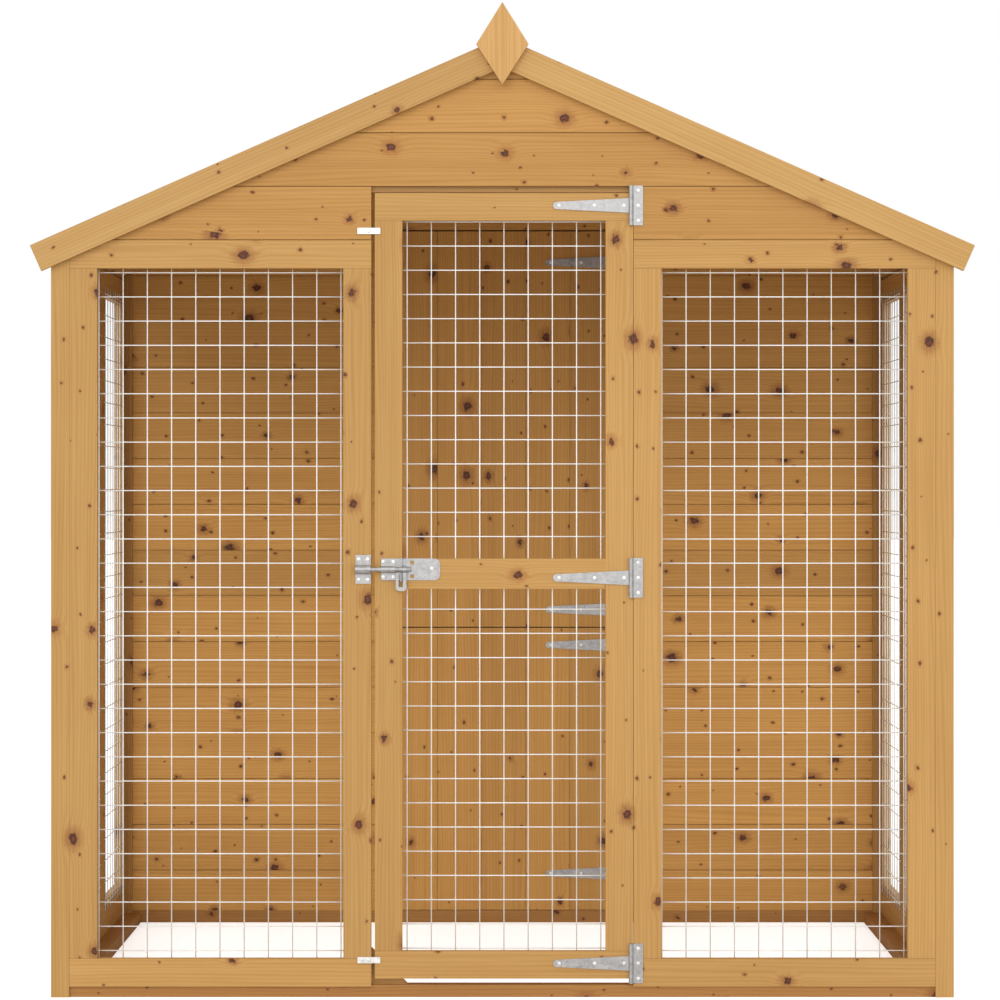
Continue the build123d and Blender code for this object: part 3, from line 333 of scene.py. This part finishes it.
@dataclass(frozen=True)
class Wood:
    """A softwood finish.

    Attributes:
        name: The material's name.
        grain: The way the grain runs.
        light: Colour of the early wood.
        dark: Colour of the late wood.
        pitch: Size of one timber along X, Y and Z, or 0 where a timber isn't divided that way.
        start: Where the first timber begins along X, Y and Z.
        knots: Share of possible places that hold a knot.
        knot_mm: Radius of the largest knot.
        spread: How much timbers differ in shade.
        rough: Mean roughness.
        joints: Axis and distance from the middle or the ground of each joint line with a neighbour,
            where a thin line of painted shade is drawn.
    """

    name: str
    grain: Axis
    light: Triple = rgb(196, 155, 93)
    dark: Triple = rgb(166, 119, 60)
    pitch: Triple = (0.0, 0.0, 0.0)
    start: Triple = (0.0, 0.0, 0.0)
    knots: float = 0.5
    knot_mm: float = 10.0
    spread: float = 0.2
    rough: float = 0.6
    joints: tuple[tuple[str, float], ...] = ()

    def _turned(self, x: Value, y: Value, z: Value) -> tuple[Value, Value, Value]:
        """Gives the place along the grain, round the timber's faces and into it."""
        if self.grain is Axis.X:
            return x, z + y, y
        if self.grain is Axis.Y:
            return y, x + z, z
        if self.grain is Axis.Z:
            return z, x + y, y
        down = abs(x) * math.cos(PITCH) - z * math.sin(PITCH)
        out = z * math.cos(PITCH) + abs(x) * math.sin(PITCH)
        if self.grain is Axis.SLOPE:
            return down, out, y
        return y, down, out

    def material(self) -> bpy.types.Material:
        """Builds the material.

        Returns:
            The finished material.
        """
        made = Shader(self.name)
        x, y, z = made.place()
        along, wide, deep = self._turned(x, y, z)
        spots = (x, wide if self.grain is Axis.DOWN_SLOPE else y, z)
        cells = [((spot - begin) / size).floor() if size else x.sign() * 0.0
                 for spot, begin, size in zip(spots, self.start, self.pitch)]
        if self.grain in (Axis.SLOPE, Axis.DOWN_SLOPE):
            cells[0] = x.sign()
        seed = made.node("ShaderNodeTexWhiteNoise", {"Vector": made.vector(*cells)}, "Color")
        shade, shift, turn = (made.node("ShaderNodeSeparateColor", {0: seed}, part)
                              for part in ("Red", "Green", "Blue"))
        along = along + shift * 9.0
        wide = wide + turn * 4.0
        fray = made.vector(along * 85.0, wide * 85.0)
        fray_x = (made.noise(fray, 1.0, 3.0, 0.6) - 0.5) * 0.022
        fray_y = (made.noise(fray, 1.37, 3.0, 0.6) - 0.5) * 0.016
        big, big_near, tone = self._knots(made, along, wide, fray_x, fray_y, KNOT_RATE, self.knot_mm)
        pin, pin_near, _ = self._knots(made, along + PIN_SHIFT[0], wide + PIN_SHIFT[1],
                                       fray_x * PIN_FRAY, fray_y * PIN_FRAY, PIN_RATE,
                                       self.knot_mm * PIN_SHARE)
        swirl = big_near.ramp(0.4, 5.0, 1.0, 0.0) * big + pin_near.ramp(0.4, 3.0, 0.4, 0.0) * pin
        broad, fibre, streak, cloud = (layer.read(made, along, wide, deep)
                                       for layer in (BROAD, FIBRE, STREAK, CLOUD))
        rings = (broad * RING_WANDER + wide * RING_RATE + swirl * RING_SWIRL).sine() * 0.5 + 0.5
        late = rings ** 1.7
        amount = late * 0.24 + fibre * 0.42 + streak * 0.62 + cloud * 0.5 - 0.42
        color = made.mix(amount, self.light, self.dark)
        level = 1.0 - self.spread / 2 + shade * self.spread
        color = made.mix(1.0, color, made.vector(level, level * 0.985, level * 0.95), "MULTIPLY")
        warm = made.mix(tone, HALO_DARK, HALO_LIGHT)
        halo = big_near.ramp(0.8, 3.0, 0.62, 0.0) * big * (fibre * 0.7 + 0.65)
        halo = halo + pin_near.ramp(0.8, 2.6, 0.5, 0.0) * pin
        color = made.mix(halo, color, warm)
        core = made.mix((big_near * 8.0).sine() * 0.5 + 0.5, KNOT_DARK, KNOT_LIGHT)
        knot = big_near.ramp(0.7, 1.15, 1.0, 0.0) * big
        speck = pin_near.ramp(0.6, 1.2, 1.0, 0.0) * pin
        color = made.mix(knot * 0.94, color, core)
        color = made.mix(speck * 0.85, color, PIN_KNOT)
        # Painted shade: a thin dark line along each listed joint with a neighbour, standing in for
        # the shade in the crack between flush timbers. The same mask also sinks the bump there.
        joint_shade = x * 0.0
        for axis, spot in self.joints:
            reach = abs(abs({"x": x, "z": z}[axis]) - spot)
            joint_shade = joint_shade + reach.ramp(JOINT_SHADE_CORE, JOINT_SHADE_EDGE, 1.0, 0.0)
        color = made.mix(joint_shade * 0.6, color, JOINT_SHADE)
        relief = fibre * 0.5 + late * 0.2 - knot * 0.25 - joint_shade * 0.4
        rough = self.rough + (fibre - 0.5) * 0.18 - knot * 0.1
        return made.surface(color, rough, relief, 0.3, specular=0.3)

    def _knots(self, made: Shader, along: Value, wide: Value, fray_x: Value, fray_y: Value,
               rate: tuple[float, float], largest_mm: float) -> tuple[Value, Value, Value]:
        """Scatters knots over a timber.

        Args:
            made: The shader in hand.
            along: Place along the grain.
            wide: Place across the face.
            fray_x: Unevenness of the outlines along the grain.
            fray_y: Unevenness of the outlines across the grain.
            rate: Possible places for a knot in a metre, along and across.
            largest_mm: Radius of the largest knot in millimetres.

        Returns:
            Whether there is a knot here, the distance in knot radii, and a random tone.
        """
        at = made.vector(along * rate[0], wide * rate[1])
        inputs = {"Vector": at, "Scale": 1.0, "Randomness": 1.0}
        spot = made.node("ShaderNodeTexVoronoi", inputs, "Position", voronoi_dimensions="2D")
        mark = made.node("ShaderNodeTexVoronoi", inputs, "Color", voronoi_dimensions="2D")
        chance, size, tone = (made.node("ShaderNodeSeparateColor", {0: mark}, part)
                              for part in ("Red", "Green", "Blue"))
        off_x = made.node("ShaderNodeSeparateXYZ", {0: spot}, "X") / rate[0] - along + fray_x
        off_y = made.node("ShaderNodeSeparateXYZ", {0: spot}, "Y") / rate[1] - wide + fray_y
        reach = ((off_x * KNOT_STRETCH) ** 2.0 + off_y ** 2.0) ** 0.5
        live = chance.ramp(1.0 - self.knots, 1.0 - self.knots + 0.01)
        sized = size * (1 - SMALLEST_KNOT) + SMALLEST_KNOT
        radius = live * sized * largest_mm * MM + 0.0001
        return live, reach / radius, tone


@dataclass(frozen=True)
class Zinc:
    """A zinc-coated steel finish.

    Attributes:
        name: The material's name.
        light: Colour of the brighter crystals.
        dark: Colour of the duller crystals.
        crystal_mm: Size of the crystals.
        rough: Mean roughness.
        metallic: How metallic the coat looks.
    """

    name: str
    light: Triple = rgb(188, 186, 184)
    dark: Triple = rgb(142, 141, 141)
    crystal_mm: float = 6.0
    rough: float = 0.42
    metallic: float = 0.75

    def material(self) -> bpy.types.Material:
        """Builds the material.

        Returns:
            The finished material.
        """
        made = Shader(self.name)
        at = made.vector(*made.place())
        crystal = made.node("ShaderNodeTexVoronoi",
                            {"Vector": at, "Scale": 1 / (self.crystal_mm * MM)}, "Color")
        tone = made.node("ShaderNodeSeparateColor", {0: crystal}, "Red")
        cloud = made.noise(at, 45.0, 3.0)
        fine = made.noise(at, 900.0, 2.0)
        color = made.mix(tone * 0.55 + cloud * 0.45, self.dark, self.light)
        rough = self.rough + (tone - 0.5) * 0.14 + (cloud - 0.5) * 0.12
        return made.surface(color, rough, fine * 0.6 + tone * 0.4, 0.05, self.metallic)


@dataclass(frozen=True)
class Felt:
    """Mineral roofing felt.

    Attributes:
        name: The material's name.
        light: Colour of the paler grains.
        dark: Colour of the darker grains.
    """

    name: str
    light: Triple = rgb(92, 98, 88)
    dark: Triple = rgb(44, 49, 44)

    def material(self) -> bpy.types.Material:
        """Builds the material.

        Returns:
            The finished material.
        """
        made = Shader(self.name)
        at = made.vector(*made.place())
        grain = made.node("ShaderNodeTexVoronoi", {"Vector": at, "Scale": 620.0}, "Color")
        tone = made.node("ShaderNodeSeparateColor", {0: grain}, "Green")
        worn = made.noise(at, 3.2, 4.0, 0.6)
        fine = made.noise(at, 210.0, 3.0, 0.6)
        color = made.mix(tone * 0.6 + worn * 0.3 + fine * 0.1, self.dark, self.light)
        return made.surface(color, 0.93 - tone * 0.08, tone * 0.7 + fine * 0.3, 0.5, specular=0.2)


def shell_boxes(node: str) -> list[tuple[Vector, Vector]]:
    """Finds the box of each separate solid of a CAD node.

    Args:
        node: The node's name.

    Returns:
        The lowest and highest corner of each solid, in a steady order.
    """
    mesh = bmesh.new()
    mesh.from_mesh(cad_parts[node].data)
    bmesh.ops.remove_doubles(mesh, verts=mesh.verts, dist=MERGE_DIST)
    left = set(mesh.verts)
    boxes = []
    while left:
        island = {left.pop()}
        edge = list(island)
        while edge:
            vert = edge.pop()
            for link in vert.link_edges:
                other = link.other_vert(vert)
                if other in left:
                    left.discard(other)
                    island.add(other)
                    edge.append(other)
        low = Vector([min(v.co[i] for v in island) for i in range(3)])
        high = Vector([max(v.co[i] for v in island) for i in range(3)])
        boxes.append((low, high))
    mesh.free()
    return sorted(boxes, key=lambda pair: tuple(round(pair[0][axis], 4) for axis in (1, 0, 2)))


def finished(name: str, mesh: bmesh.types.BMesh, material: bpy.types.Material,
             smooth: bool = True) -> bpy.types.Object:
    """Turns a bmesh into an object with one material.

    Args:
        name: The piece's name.
        mesh: The mesh, which is used up.
        material: Its material.
        smooth: Whether its faces are shaded smooth.

    Returns:
        The new object, linked to the scene.
    """
    data = bpy.data.meshes.new(name)
    for face in mesh.faces:
        face.smooth = smooth
    mesh.to_mesh(data)
    mesh.free()
    data.materials.append(material)
    piece = bpy.data.objects.new(name, data)
    bpy.context.scene.collection.objects.link(piece)
    return piece


@dataclass
class MeshSheet:
    """A welded sheet of round wires that stands for a net of the CAD model.

    Attributes:
        node: The CAD node.
        body: The body it moves with.
        wire: Wire diameter in metres.
        pitch: Distance between wires in metres.
        lap: How far wire ends reach past the outer opening, in metres.
    """

    node: str
    body: str
    wire: float = 2.4 * MM
    pitch: float = 0.05
    lap: float = 0.02

    def _wire(self, mesh: bmesh.types.BMesh, start: Vector, end: Vector) -> None:
        """Adds one round wire between two points."""
        way = end - start
        turn = Vector((0, 0, 1)).rotation_difference(way.normalized()).to_matrix().to_4x4()
        bmesh.ops.create_cone(mesh, cap_ends=True, segments=10, radius1=self.wire / 2,
                              radius2=self.wire / 2, depth=way.length,
                              matrix=Matrix.Translation((start + end) / 2) @ turn)

    def build(self, material: bpy.types.Material) -> None:
        """Builds the wires and puts them in the net's place.

        Args:
            material: The wire's finish.
        """
        mesh = bmesh.new()
        for low, high in shell_boxes(self.node):
            middle = (low + high) / 2
            side = 1 if high.x - low.x < high.y - low.y else 0
            width = high[side] - low[side]
            columns = round((width - 2 * self.lap) / self.pitch)
            rows = round((high.z - low.z - 2 * self.lap) / self.pitch)
            for column in range(columns + 1):
                foot = middle.copy()
                foot[side] += (column - columns / 2) * self.pitch
                top = foot.copy()
                foot.z, top.z = low.z, high.z
                self._wire(mesh, foot, top)
            for row in range(rows + 1):
                near = middle.copy()
                near.z += (row - rows / 2) * self.pitch
                far = near.copy()
                near[side], far[side] = low[side], high[side]
                self._wire(mesh, near, far)
        piece = finished(f"{self.node}_wires", mesh, material)
        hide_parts(self.node)
        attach(piece, self.body)


@dataclass
class ScrewHeads:
    """Domed screw heads with a cross recess, in the place of the CAD model's plain ones.

    Attributes:
        node: The CAD node.
        body: The body they move with.
        sides: How many sides each head has.
    """

    node: str
    body: str
    sides: int = 24

    def _head(self, mesh: bmesh.types.BMesh, low: Vector, high: Vector) -> None:
        """Adds one head and its shank, facing the front."""
        radius = (high.x - low.x) / 2
        across = (low + high) / 2
        rise = HEAD_RISE if radius > SMALL_HEAD_R else SMALL_HEAD_RISE
        angles = [turn * math.tau / self.sides for turn in range(self.sides)]
        loops = []
        for share, height in HEAD_DOME:
            loops.append([mesh.verts.new((across.x + radius * share * math.cos(angle),
                                          low.y + rise * (1 - height),
                                          across.z + radius * share * math.sin(angle)))
                          for angle in angles])
        for outer, inner in zip(loops, loops[1:]):
            for turn in range(self.sides):
                mesh.faces.new((outer[turn - 1], outer[turn], inner[turn], inner[turn - 1]))
        inner = loops[-1]
        sunk = []
        for turn, angle in enumerate(angles):
            arm = RECESS_WAIST if turn % (self.sides // 4) else RECESS_ARM
            sunk.append(mesh.verts.new((across.x + radius * arm * math.cos(angle),
                                        low.y + rise * RECESS_LIP,
                                        across.z + radius * arm * math.sin(angle))))
        floor = [mesh.verts.new((across.x + (v.co.x - across.x) * RECESS_TAPER,
                                 low.y + rise * RECESS_DEPTH,
                                 across.z + (v.co.z - across.z) * RECESS_TAPER)) for v in sunk]
        for outer, deeper in ((inner, sunk), (sunk, floor)):
            for turn in range(self.sides):
                mesh.faces.new((outer[turn - 1], outer[turn], deeper[turn], deeper[turn - 1]))
        mesh.faces.new(floor)
        back = [mesh.verts.new((v.co.x, high.y, v.co.z)) for v in loops[NECK_RING]]
        base = [mesh.verts.new((v.co.x, low.y + rise, v.co.z)) for v in loops[NECK_RING]]
        for turn in range(self.sides):
            mesh.faces.new((base[turn - 1], base[turn], back[turn], back[turn - 1]))

    def build(self, material: bpy.types.Material) -> None:
        """Builds the heads and puts them in the node's place.

        Args:
            material: The finish of the heads.
        """
        mesh = bmesh.new()
        for low, high in shell_boxes(self.node):
            shank = Vector((high.x, min(high.y, low.y + SHANK_LENGTH), high.z))
            self._head(mesh, low, shank)
        bmesh.ops.recalc_face_normals(mesh, faces=mesh.faces)
        piece = finished(f"{self.node}_heads", mesh, material, smooth=False)
        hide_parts(self.node)
        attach(piece, self.body)


@dataclass
class Palette:
    """The materials of the kennel, and the CAD nodes that wear them.

    Attributes:
        zinc: Finish of pressed hardware.
        bright: Finish of small bright fittings.
        wire: Finish of the wires.
    """

    zinc: bpy.types.Material = field(default_factory=Zinc("galvanised_steel").material)
    bright: bpy.types.Material = field(default_factory=Zinc(
        "bright_zinc", rgb(236, 235, 230), rgb(206, 206, 202), 9.0, 0.34, 0.6).material)
    wire: bpy.types.Material = field(default_factory=Zinc(
        "galvanised_wire", rgb(250, 248, 242), rgb(228, 226, 220), 4.0, 0.45, 0.15).material)

    def woods(self) -> dict[str, Wood]:
        """Gives the wood finish of each timber node."""
        course = 0.1103
        lowest_lap = 1.56
        boards = rgb(190, 144, 81), rgb(158, 110, 51)
        inside = rgb(212, 161, 88), rgb(177, 124, 58)
        rough = rgb(196, 154, 96), rgb(162, 118, 66)
        # Bearer colours, darker than the boards: the shade in the recess under the frame's lower edge
        # is painted into them.
        shaded_bearer_wood = rgb(178, 128, 68), rgb(144, 98, 48)
        leaf = (0.532 / 5, 0.0, 0.0)
        leaf_start = (-0.2628, 0.0, 0.0)
        lapped = (0.0, 0.0, course)
        lapped_start = (0.0, 0.0, lowest_lap)
        return {
            "front_corner_posts": Wood("post", Axis.Z, pitch=(1.0, 0.0, 0.0)),
            "front_panel_rails": Wood("rail", Axis.X, pitch=(2.0, 0.0, 1.0), start=(0.0, 0.0, 0.5),
                                      joints=(("x", 0.8925),)),
            "front_panel_stiles": Wood("stile", Axis.Z, pitch=(0.9, 0.0, 0.0), knots=0.55,
                                       joints=(("x", 0.8925), ("z", 0.08), ("z", 1.5025))),
            "door_posts": Wood("door_post", Axis.Z, pitch=(0.7, 0.0, 0.0), knots=0.6,
                               joints=(("z", 0.08), ("z", 1.5025))),
            "side_panel_rails": Wood("side_rail", Axis.Y, pitch=(1.0, 0.0, 1.0)),
            "side_panel_stiles": Wood("side_stile", Axis.Z, pitch=(1.0, 0.1, 0.0)),
            "corner_block": Wood("block", Axis.X, knots=0.2),
            "kennel_corner_strips": Wood("strip", Axis.Z, *boards, pitch=(1.0, 1.0, 0.0)),
            "barge_boards": Wood("barge", Axis.SLOPE, rgb(199, 160, 101), rgb(170, 125, 66)),
            "finial": Wood("finial", Axis.Z, rgb(208, 166, 106), rgb(178, 132, 74), knots=0.0),
            "front_door_stiles": Wood("door_stile", Axis.Z, pitch=(0.4, 0.0, 0.0),
                                      joints=(("z", 0.0954), ("z", 1.6008))),
            "front_door_rails": Wood("door_rail", Axis.X, pitch=(0.0, 0.0, 0.5)),
            "gable_cladding": Wood("gable_board", Axis.X, *boards, pitch=lapped,
                                   start=lapped_start, knots=0.6),
            "kennel_front_cladding": Wood("wall_board", Axis.X, *inside, pitch=lapped,
                                          start=lapped_start, knots=0.6),
            "kennel_side_cladding": Wood("side_board", Axis.Y, *boards, pitch=(1.0, 0.0, course),
                                         start=lapped_start, knots=0.6),
            "kennel_rear_cladding": Wood("rear_board", Axis.X, *boards, pitch=lapped,
                                         start=lapped_start, knots=0.6),
            "upper_leaf_boards": Wood("upper_leaf_board", Axis.Z, *inside, pitch=leaf,
                                      start=leaf_start),
            "lower_leaf_boards": Wood("lower_leaf_board", Axis.Z, *inside, pitch=leaf,
                                      start=leaf_start),
            "upper_leaf_ledges": Wood("upper_ledge", Axis.X, *rough, pitch=(0.0, 0.0, 0.5)),
            "lower_leaf_ledges": Wood("lower_ledge", Axis.X, *rough, pitch=(0.0, 0.0, 0.5)),
            "gable_framing": Wood("rafter", Axis.SLOPE, *rough, pitch=(1.0, 1.0, 0.0)),
            "doorway_headers": Wood("header", Axis.X, *rough, pitch=(0.0, 1.0, 0.0)),
            "kennel_wall_plates": Wood("plate", Axis.X, *rough, pitch=(0.0, 1.0, 1.0)),
            "kennel_wall_studs": Wood("stud", Axis.Z, *rough, pitch=(0.5, 0.2, 0.0)),
            "kennel_floorboards": Wood("floorboard", Axis.Y, *rough, pitch=(0.114750, 0.0, 0.0),
                                       start=(-0.918, 0.0, 0.0)),
            "roof_beams": Wood("beam", Axis.Y, *rough, pitch=(0.3, 1.2, 0.0)),
            "roof_boards": Wood("roof_board", Axis.DOWN_SLOPE, *rough, pitch=(0.0, 0.10483, 0.0)),
            "run_front_bearer": Wood("front_bearer", Axis.X, *shaded_bearer_wood),
            "run_side_bearers": Wood("side_bearer", Axis.Y, *shaded_bearer_wood, pitch=(1.0, 0.0, 0.0)),
            "kennel_floor_bearers": Wood("floor_bearer", Axis.X, *shaded_bearer_wood, pitch=(0.0, 0.2, 0.0)),
        }

    def paint(self) -> None:
        """Gives every CAD node that stays its finish."""
        worn = {node: wood.material() for node, wood in self.woods().items()}
        felt = Felt("mineral_felt").material()
        for node in ("roof_felt", "felt_ridge_cap"):
            worn[node] = felt
        for node in ("hinge_plates", "hinge_pins", "front_door_straps", "upper_leaf_straps",
                     "lower_leaf_straps", "bolt_plate", "bolt_staple", "bolt_guide", "bolt_keeper",
                     "bolt_rod", "bolt_handle"):
            worn[node] = self.zinc
        for node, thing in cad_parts.items():
            finish = worn.get(node, self.bright)
            thing.data.materials.clear()
            thing.data.materials.append(finish)
        LOG.info("painted %d nodes", len(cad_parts))


@dataclass
class Studio:
    """A white floor, soft lights and the photograph's camera.

    Attributes:
        distance: Camera to the front face, in metres.
        height: Height of the camera.
        scale: Metres across one pixel at the front face.
        middle: Where the camera's axis meets the image, in pixels from its top left corner.
    """

    distance: float = 7.1
    height: float = 1.0537
    scale: float = 0.00206
    middle: tuple[float, float] = (502.4, 486.0)

    def _camera(self) -> None:
        """Places the camera."""
        data = bpy.data.cameras.new("camera")
        data.sensor_width = SENSOR_MM
        data.lens = SENSOR_MM * self.distance / (self.scale * PICTURE_PX)
        data.shift_x = (PICTURE_PX / 2 - self.middle[0]) / PICTURE_PX
        data.shift_y = (self.middle[1] - PICTURE_PX / 2) / PICTURE_PX
        data.clip_end = 200
        camera = bpy.data.objects.new("camera", data)
        camera.location = (0, FRONT_Y - self.distance, self.height)
        camera.rotation_euler = (math.pi / 2, 0, 0)
        bpy.context.scene.collection.objects.link(camera)
        bpy.context.scene.camera = camera

    def _floor(self) -> None:
        """Lays a white floor that still takes the kennel's shadow."""
        mesh = bmesh.new()
        bmesh.ops.create_grid(mesh, x_segments=1, y_segments=1, size=FLOOR_HALF)
        made = Shader("floor")
        seen = made.node("ShaderNodeLightPath", {}, "Is Camera Ray")
        matt = made.node("ShaderNodeBsdfDiffuse", {"Color": (0.8, 0.8, 0.8)})
        glow = made.node("ShaderNodeEmission", {"Color": (1.0, 1.0, 1.0), "Strength": 0.62})
        dark = made.node("ShaderNodeEmission", {"Color": (0.0, 0.0, 0.0), "Strength": 0.0})
        lift = made.node("ShaderNodeMixShader", {0: seen, 1: dark, 2: glow})
        made.node_output(made.node("ShaderNodeAddShader", {0: matt, 1: lift}))
        floor = finished("floor", mesh, made.material, smooth=False)

    def _world(self) -> None:
        """Surrounds the kennel with soft white light."""
        world = bpy.data.worlds.new("studio")
        world.use_nodes = True
        tree = world.node_tree
        tree.nodes.clear()
        path = tree.nodes.new("ShaderNodeLightPath")
        soft = tree.nodes.new("ShaderNodeBackground")
        soft.inputs["Strength"].default_value = 0.95
        white = tree.nodes.new("ShaderNodeBackground")
        white.inputs["Strength"].default_value = 1.0
        for background in (soft, white):
            background.inputs["Color"].default_value = (1, 1, 1, 1)
        mixed = tree.nodes.new("ShaderNodeMixShader")
        out = tree.nodes.new("ShaderNodeOutputWorld")
        tree.links.new(path.outputs["Is Camera Ray"], mixed.inputs[0])
        tree.links.new(soft.outputs[0], mixed.inputs[1])
        tree.links.new(white.outputs[0], mixed.inputs[2])
        tree.links.new(mixed.outputs[0], out.inputs["Surface"])
        bpy.context.scene.world = world

    def _sun(self, name: str, strength: float, spread: float, turn: Triple) -> None:
        """Adds one soft distant light.

        Args:
            name: The light's name.
            strength: Its strength.
            spread: Its angular size in degrees.
            turn: Its rotation in degrees.
        """
        data = bpy.data.lights.new(name, "SUN")
        data.energy = strength
        data.angle = math.radians(spread)
        light = bpy.data.objects.new(name, data)
        light.rotation_euler = tuple(math.radians(angle) for angle in turn)
        bpy.context.scene.collection.objects.link(light)

    def build(self) -> None:
        """Builds the floor, the world, the lights and the camera."""
        self._floor()
        self._world()
        self._sun("key", 1.15, 50, (76, 0, -14))
        self._sun("fill", 0.35, 70, (70, 0, 32))
        self._camera()
        view = bpy.context.scene.view_settings
        view.view_transform = "Standard"


def main() -> None:
    """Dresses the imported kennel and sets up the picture."""
    logging.basicConfig(level=logging.INFO)
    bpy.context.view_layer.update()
    palette = Palette()
    palette.paint()
    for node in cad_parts:
        if "mesh" in node:
            body = "front_door" if node.startswith("front_door") else "shell"
            MeshSheet(node, body).build(palette.wire)
    heads = {"frame_screws": "shell", "turn_button_screws": "shell",
             "front_door_screws": "front_door", "upper_leaf_screws": "upper_leaf",
             "lower_leaf_screws": "lower_leaf"}
    for node, body in heads.items():
        ScrewHeads(node, body).build(palette.bright)
    Studio().build()


if __name__ == "__main__":
    main()
